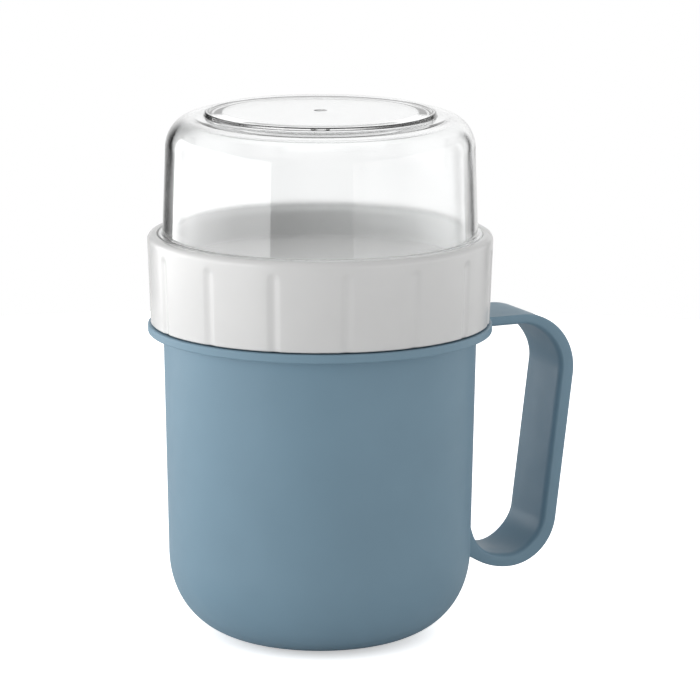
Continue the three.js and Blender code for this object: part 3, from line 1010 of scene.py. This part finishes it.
def background_rays(tree):
    """1 on rays that reach the background from the camera, through the clear plastic or off a gloss,
    and 0 on light rays. The second value is 1 on rays that a gloss has turned."""
    path = tree.nodes.new("ShaderNodeLightPath")
    glossy = path.outputs["Is Glossy Ray"]
    through = path.outputs["Is Transmission Ray"]
    bent = sum_node(tree, "MAXIMUM", glossy, through)
    looking = sum_node(tree, "MAXIMUM", path.outputs["Is Camera Ray"], bent)
    direct = sum_node(tree, "LESS_THAN", path.outputs["Diffuse Depth"], ANY_DEPTH)
    seen = sum_node(tree, "MULTIPLY", looking, direct)
    turned = sum_node(tree, "GREATER_THAN", path.outputs["Glossy Depth"], ANY_DEPTH)
    return seen, turned


def floor_material():
    """White table that shows as a white background. Its glow is lower close to the object, which paints
    shade round the base and lets the real shadow show there.
    """
    material, shader = new_material("white_table")
    tree = material.node_tree
    shader.inputs["Base Color"].default_value = (FLOOR_WHITE, FLOOR_WHITE, FLOOR_WHITE, 1)
    shader.inputs["Roughness"].default_value = FLOOR_ROUGHNESS
    shader.inputs["Specular IOR Level"].default_value = 0
    shader.inputs["Emission Color"].default_value = (1, 1, 1, 1)
    place = tree.nodes.new("ShaderNodeTexCoord")
    length = tree.nodes.new("ShaderNodeVectorMath")
    length.operation = "LENGTH"
    tree.links.new(place.outputs["Object"], length.inputs[0])
    distance = length.outputs["Value"]
    # Painted shade: the glow is lower close to the object, darkening the floor round the base whatever
    # the light.
    glow_with_painted_shade = map_range(tree, distance, PAINTED_SHADE_START, PAINTED_SHADE_END, PAINTED_SHADE_GLOW, 1, "SMOOTHSTEP")
    seen, turned = background_rays(tree)
    straight = sum_node(tree, "MULTIPLY", seen, sum_node(tree, "SUBTRACT", 1, turned))
    strength = sum_node(tree, "MULTIPLY", glow_with_painted_shade, straight)
    tree.links.new(strength, shader.inputs["Emission Strength"])
    return material


def make_floor():
    """The round white table that the object stands on."""
    mesh = bpy.data.meshes.new("table")
    rim = [(*polar(FLOOR_RADIUS, 360 * k / FLOOR_STEPS), 0) for k in range(FLOOR_STEPS)]
    mesh.from_pydata(rim, [], [list(range(FLOOR_STEPS))])
    table = bpy.data.objects.new("table", mesh)
    bpy.context.scene.collection.objects.link(table)
    mesh.materials.append(floor_material())


def pointing(tree, place, turn):
    """How far a direction points this many degrees round from the camera."""
    part = tree.nodes.new("ShaderNodeVectorMath")
    part.operation = "DOT_PRODUCT"
    part.inputs[1].default_value = (*view_direction(turn), 0)
    tree.links.new(place.outputs["Generated"], part.inputs[0])
    return part.outputs["Value"]


def dark_strip(tree, sideways, upward, middle, half_width, level, top):
    """How an upright dark strip dims a direction, from its sideways and its upward part."""
    away = sum_node(tree, "ABSOLUTE", sum_node(tree, "SUBTRACT", sideways, middle), 0)
    dimmed = map_range(tree, away, 0, half_width, level, 1, "SMOOTHSTEP")
    return map_range(tree, upward, top - STRIP_FADE, top + STRIP_FADE, dimmed, 1)


def studio_level(tree):
    """Brightness of the studio in reflections: white above the table's level and a little dimmer below
    it, with dark strips. Those behind the object show in every reflection, the others only in light
    that has passed through the clear plastic."""
    place = tree.nodes.new("ShaderNodeTexCoord")
    split = tree.nodes.new("ShaderNodeSeparateXYZ")
    tree.links.new(place.outputs["Generated"], split.inputs[0])
    upward = split.outputs["Z"]
    path = tree.nodes.new("ShaderNodeLightPath")
    through = sum_node(tree, "MINIMUM", path.outputs["Transmission Depth"], 1)
    behind = map_range(tree, pointing(tree, place, 0), -HORIZON, HORIZON, 1, 0)
    shown = sum_node(tree, "MAXIMUM", behind, through)
    level = map_range(tree, upward, -HORIZON, HORIZON, LOW_LEVEL, 1)
    for turn in STRIP_TURNS:
        for strip in (LEFT_STRIP, RIGHT_STRIP):
            dimmed = dark_strip(tree, pointing(tree, place, turn), upward, *strip)
            level = sum_node(tree, "MULTIPLY", level, sum_node(tree, "POWER", dimmed, shown))
    return level


def make_world():
    """White to the camera and through the clear plastic, the studio in reflections, and dim for the
    light that falls on the object."""
    world = bpy.data.worlds.new("studio")
    bpy.context.scene.world = world
    world.use_nodes = True
    tree = world.node_tree
    background = tree.nodes["Background"]
    background.inputs["Color"].default_value = (1, 1, 1, 1)
    seen, turned = background_rays(tree)
    kept = sum_node(tree, "MULTIPLY", turned, sum_node(tree, "SUBTRACT", studio_level(tree), 1))
    shown = sum_node(tree, "ADD", 1, kept)
    lit = sum_node(tree, "MULTIPLY", sum_node(tree, "SUBTRACT", 1, seen), AMBIENT)
    strength = sum_node(tree, "ADD", sum_node(tree, "MULTIPLY", seen, shown), lit)
    tree.links.new(strength, background.inputs["Strength"])


make_floor()
make_world()
make_lights()

bpy.context.scene.view_settings.view_transform = "Standard"
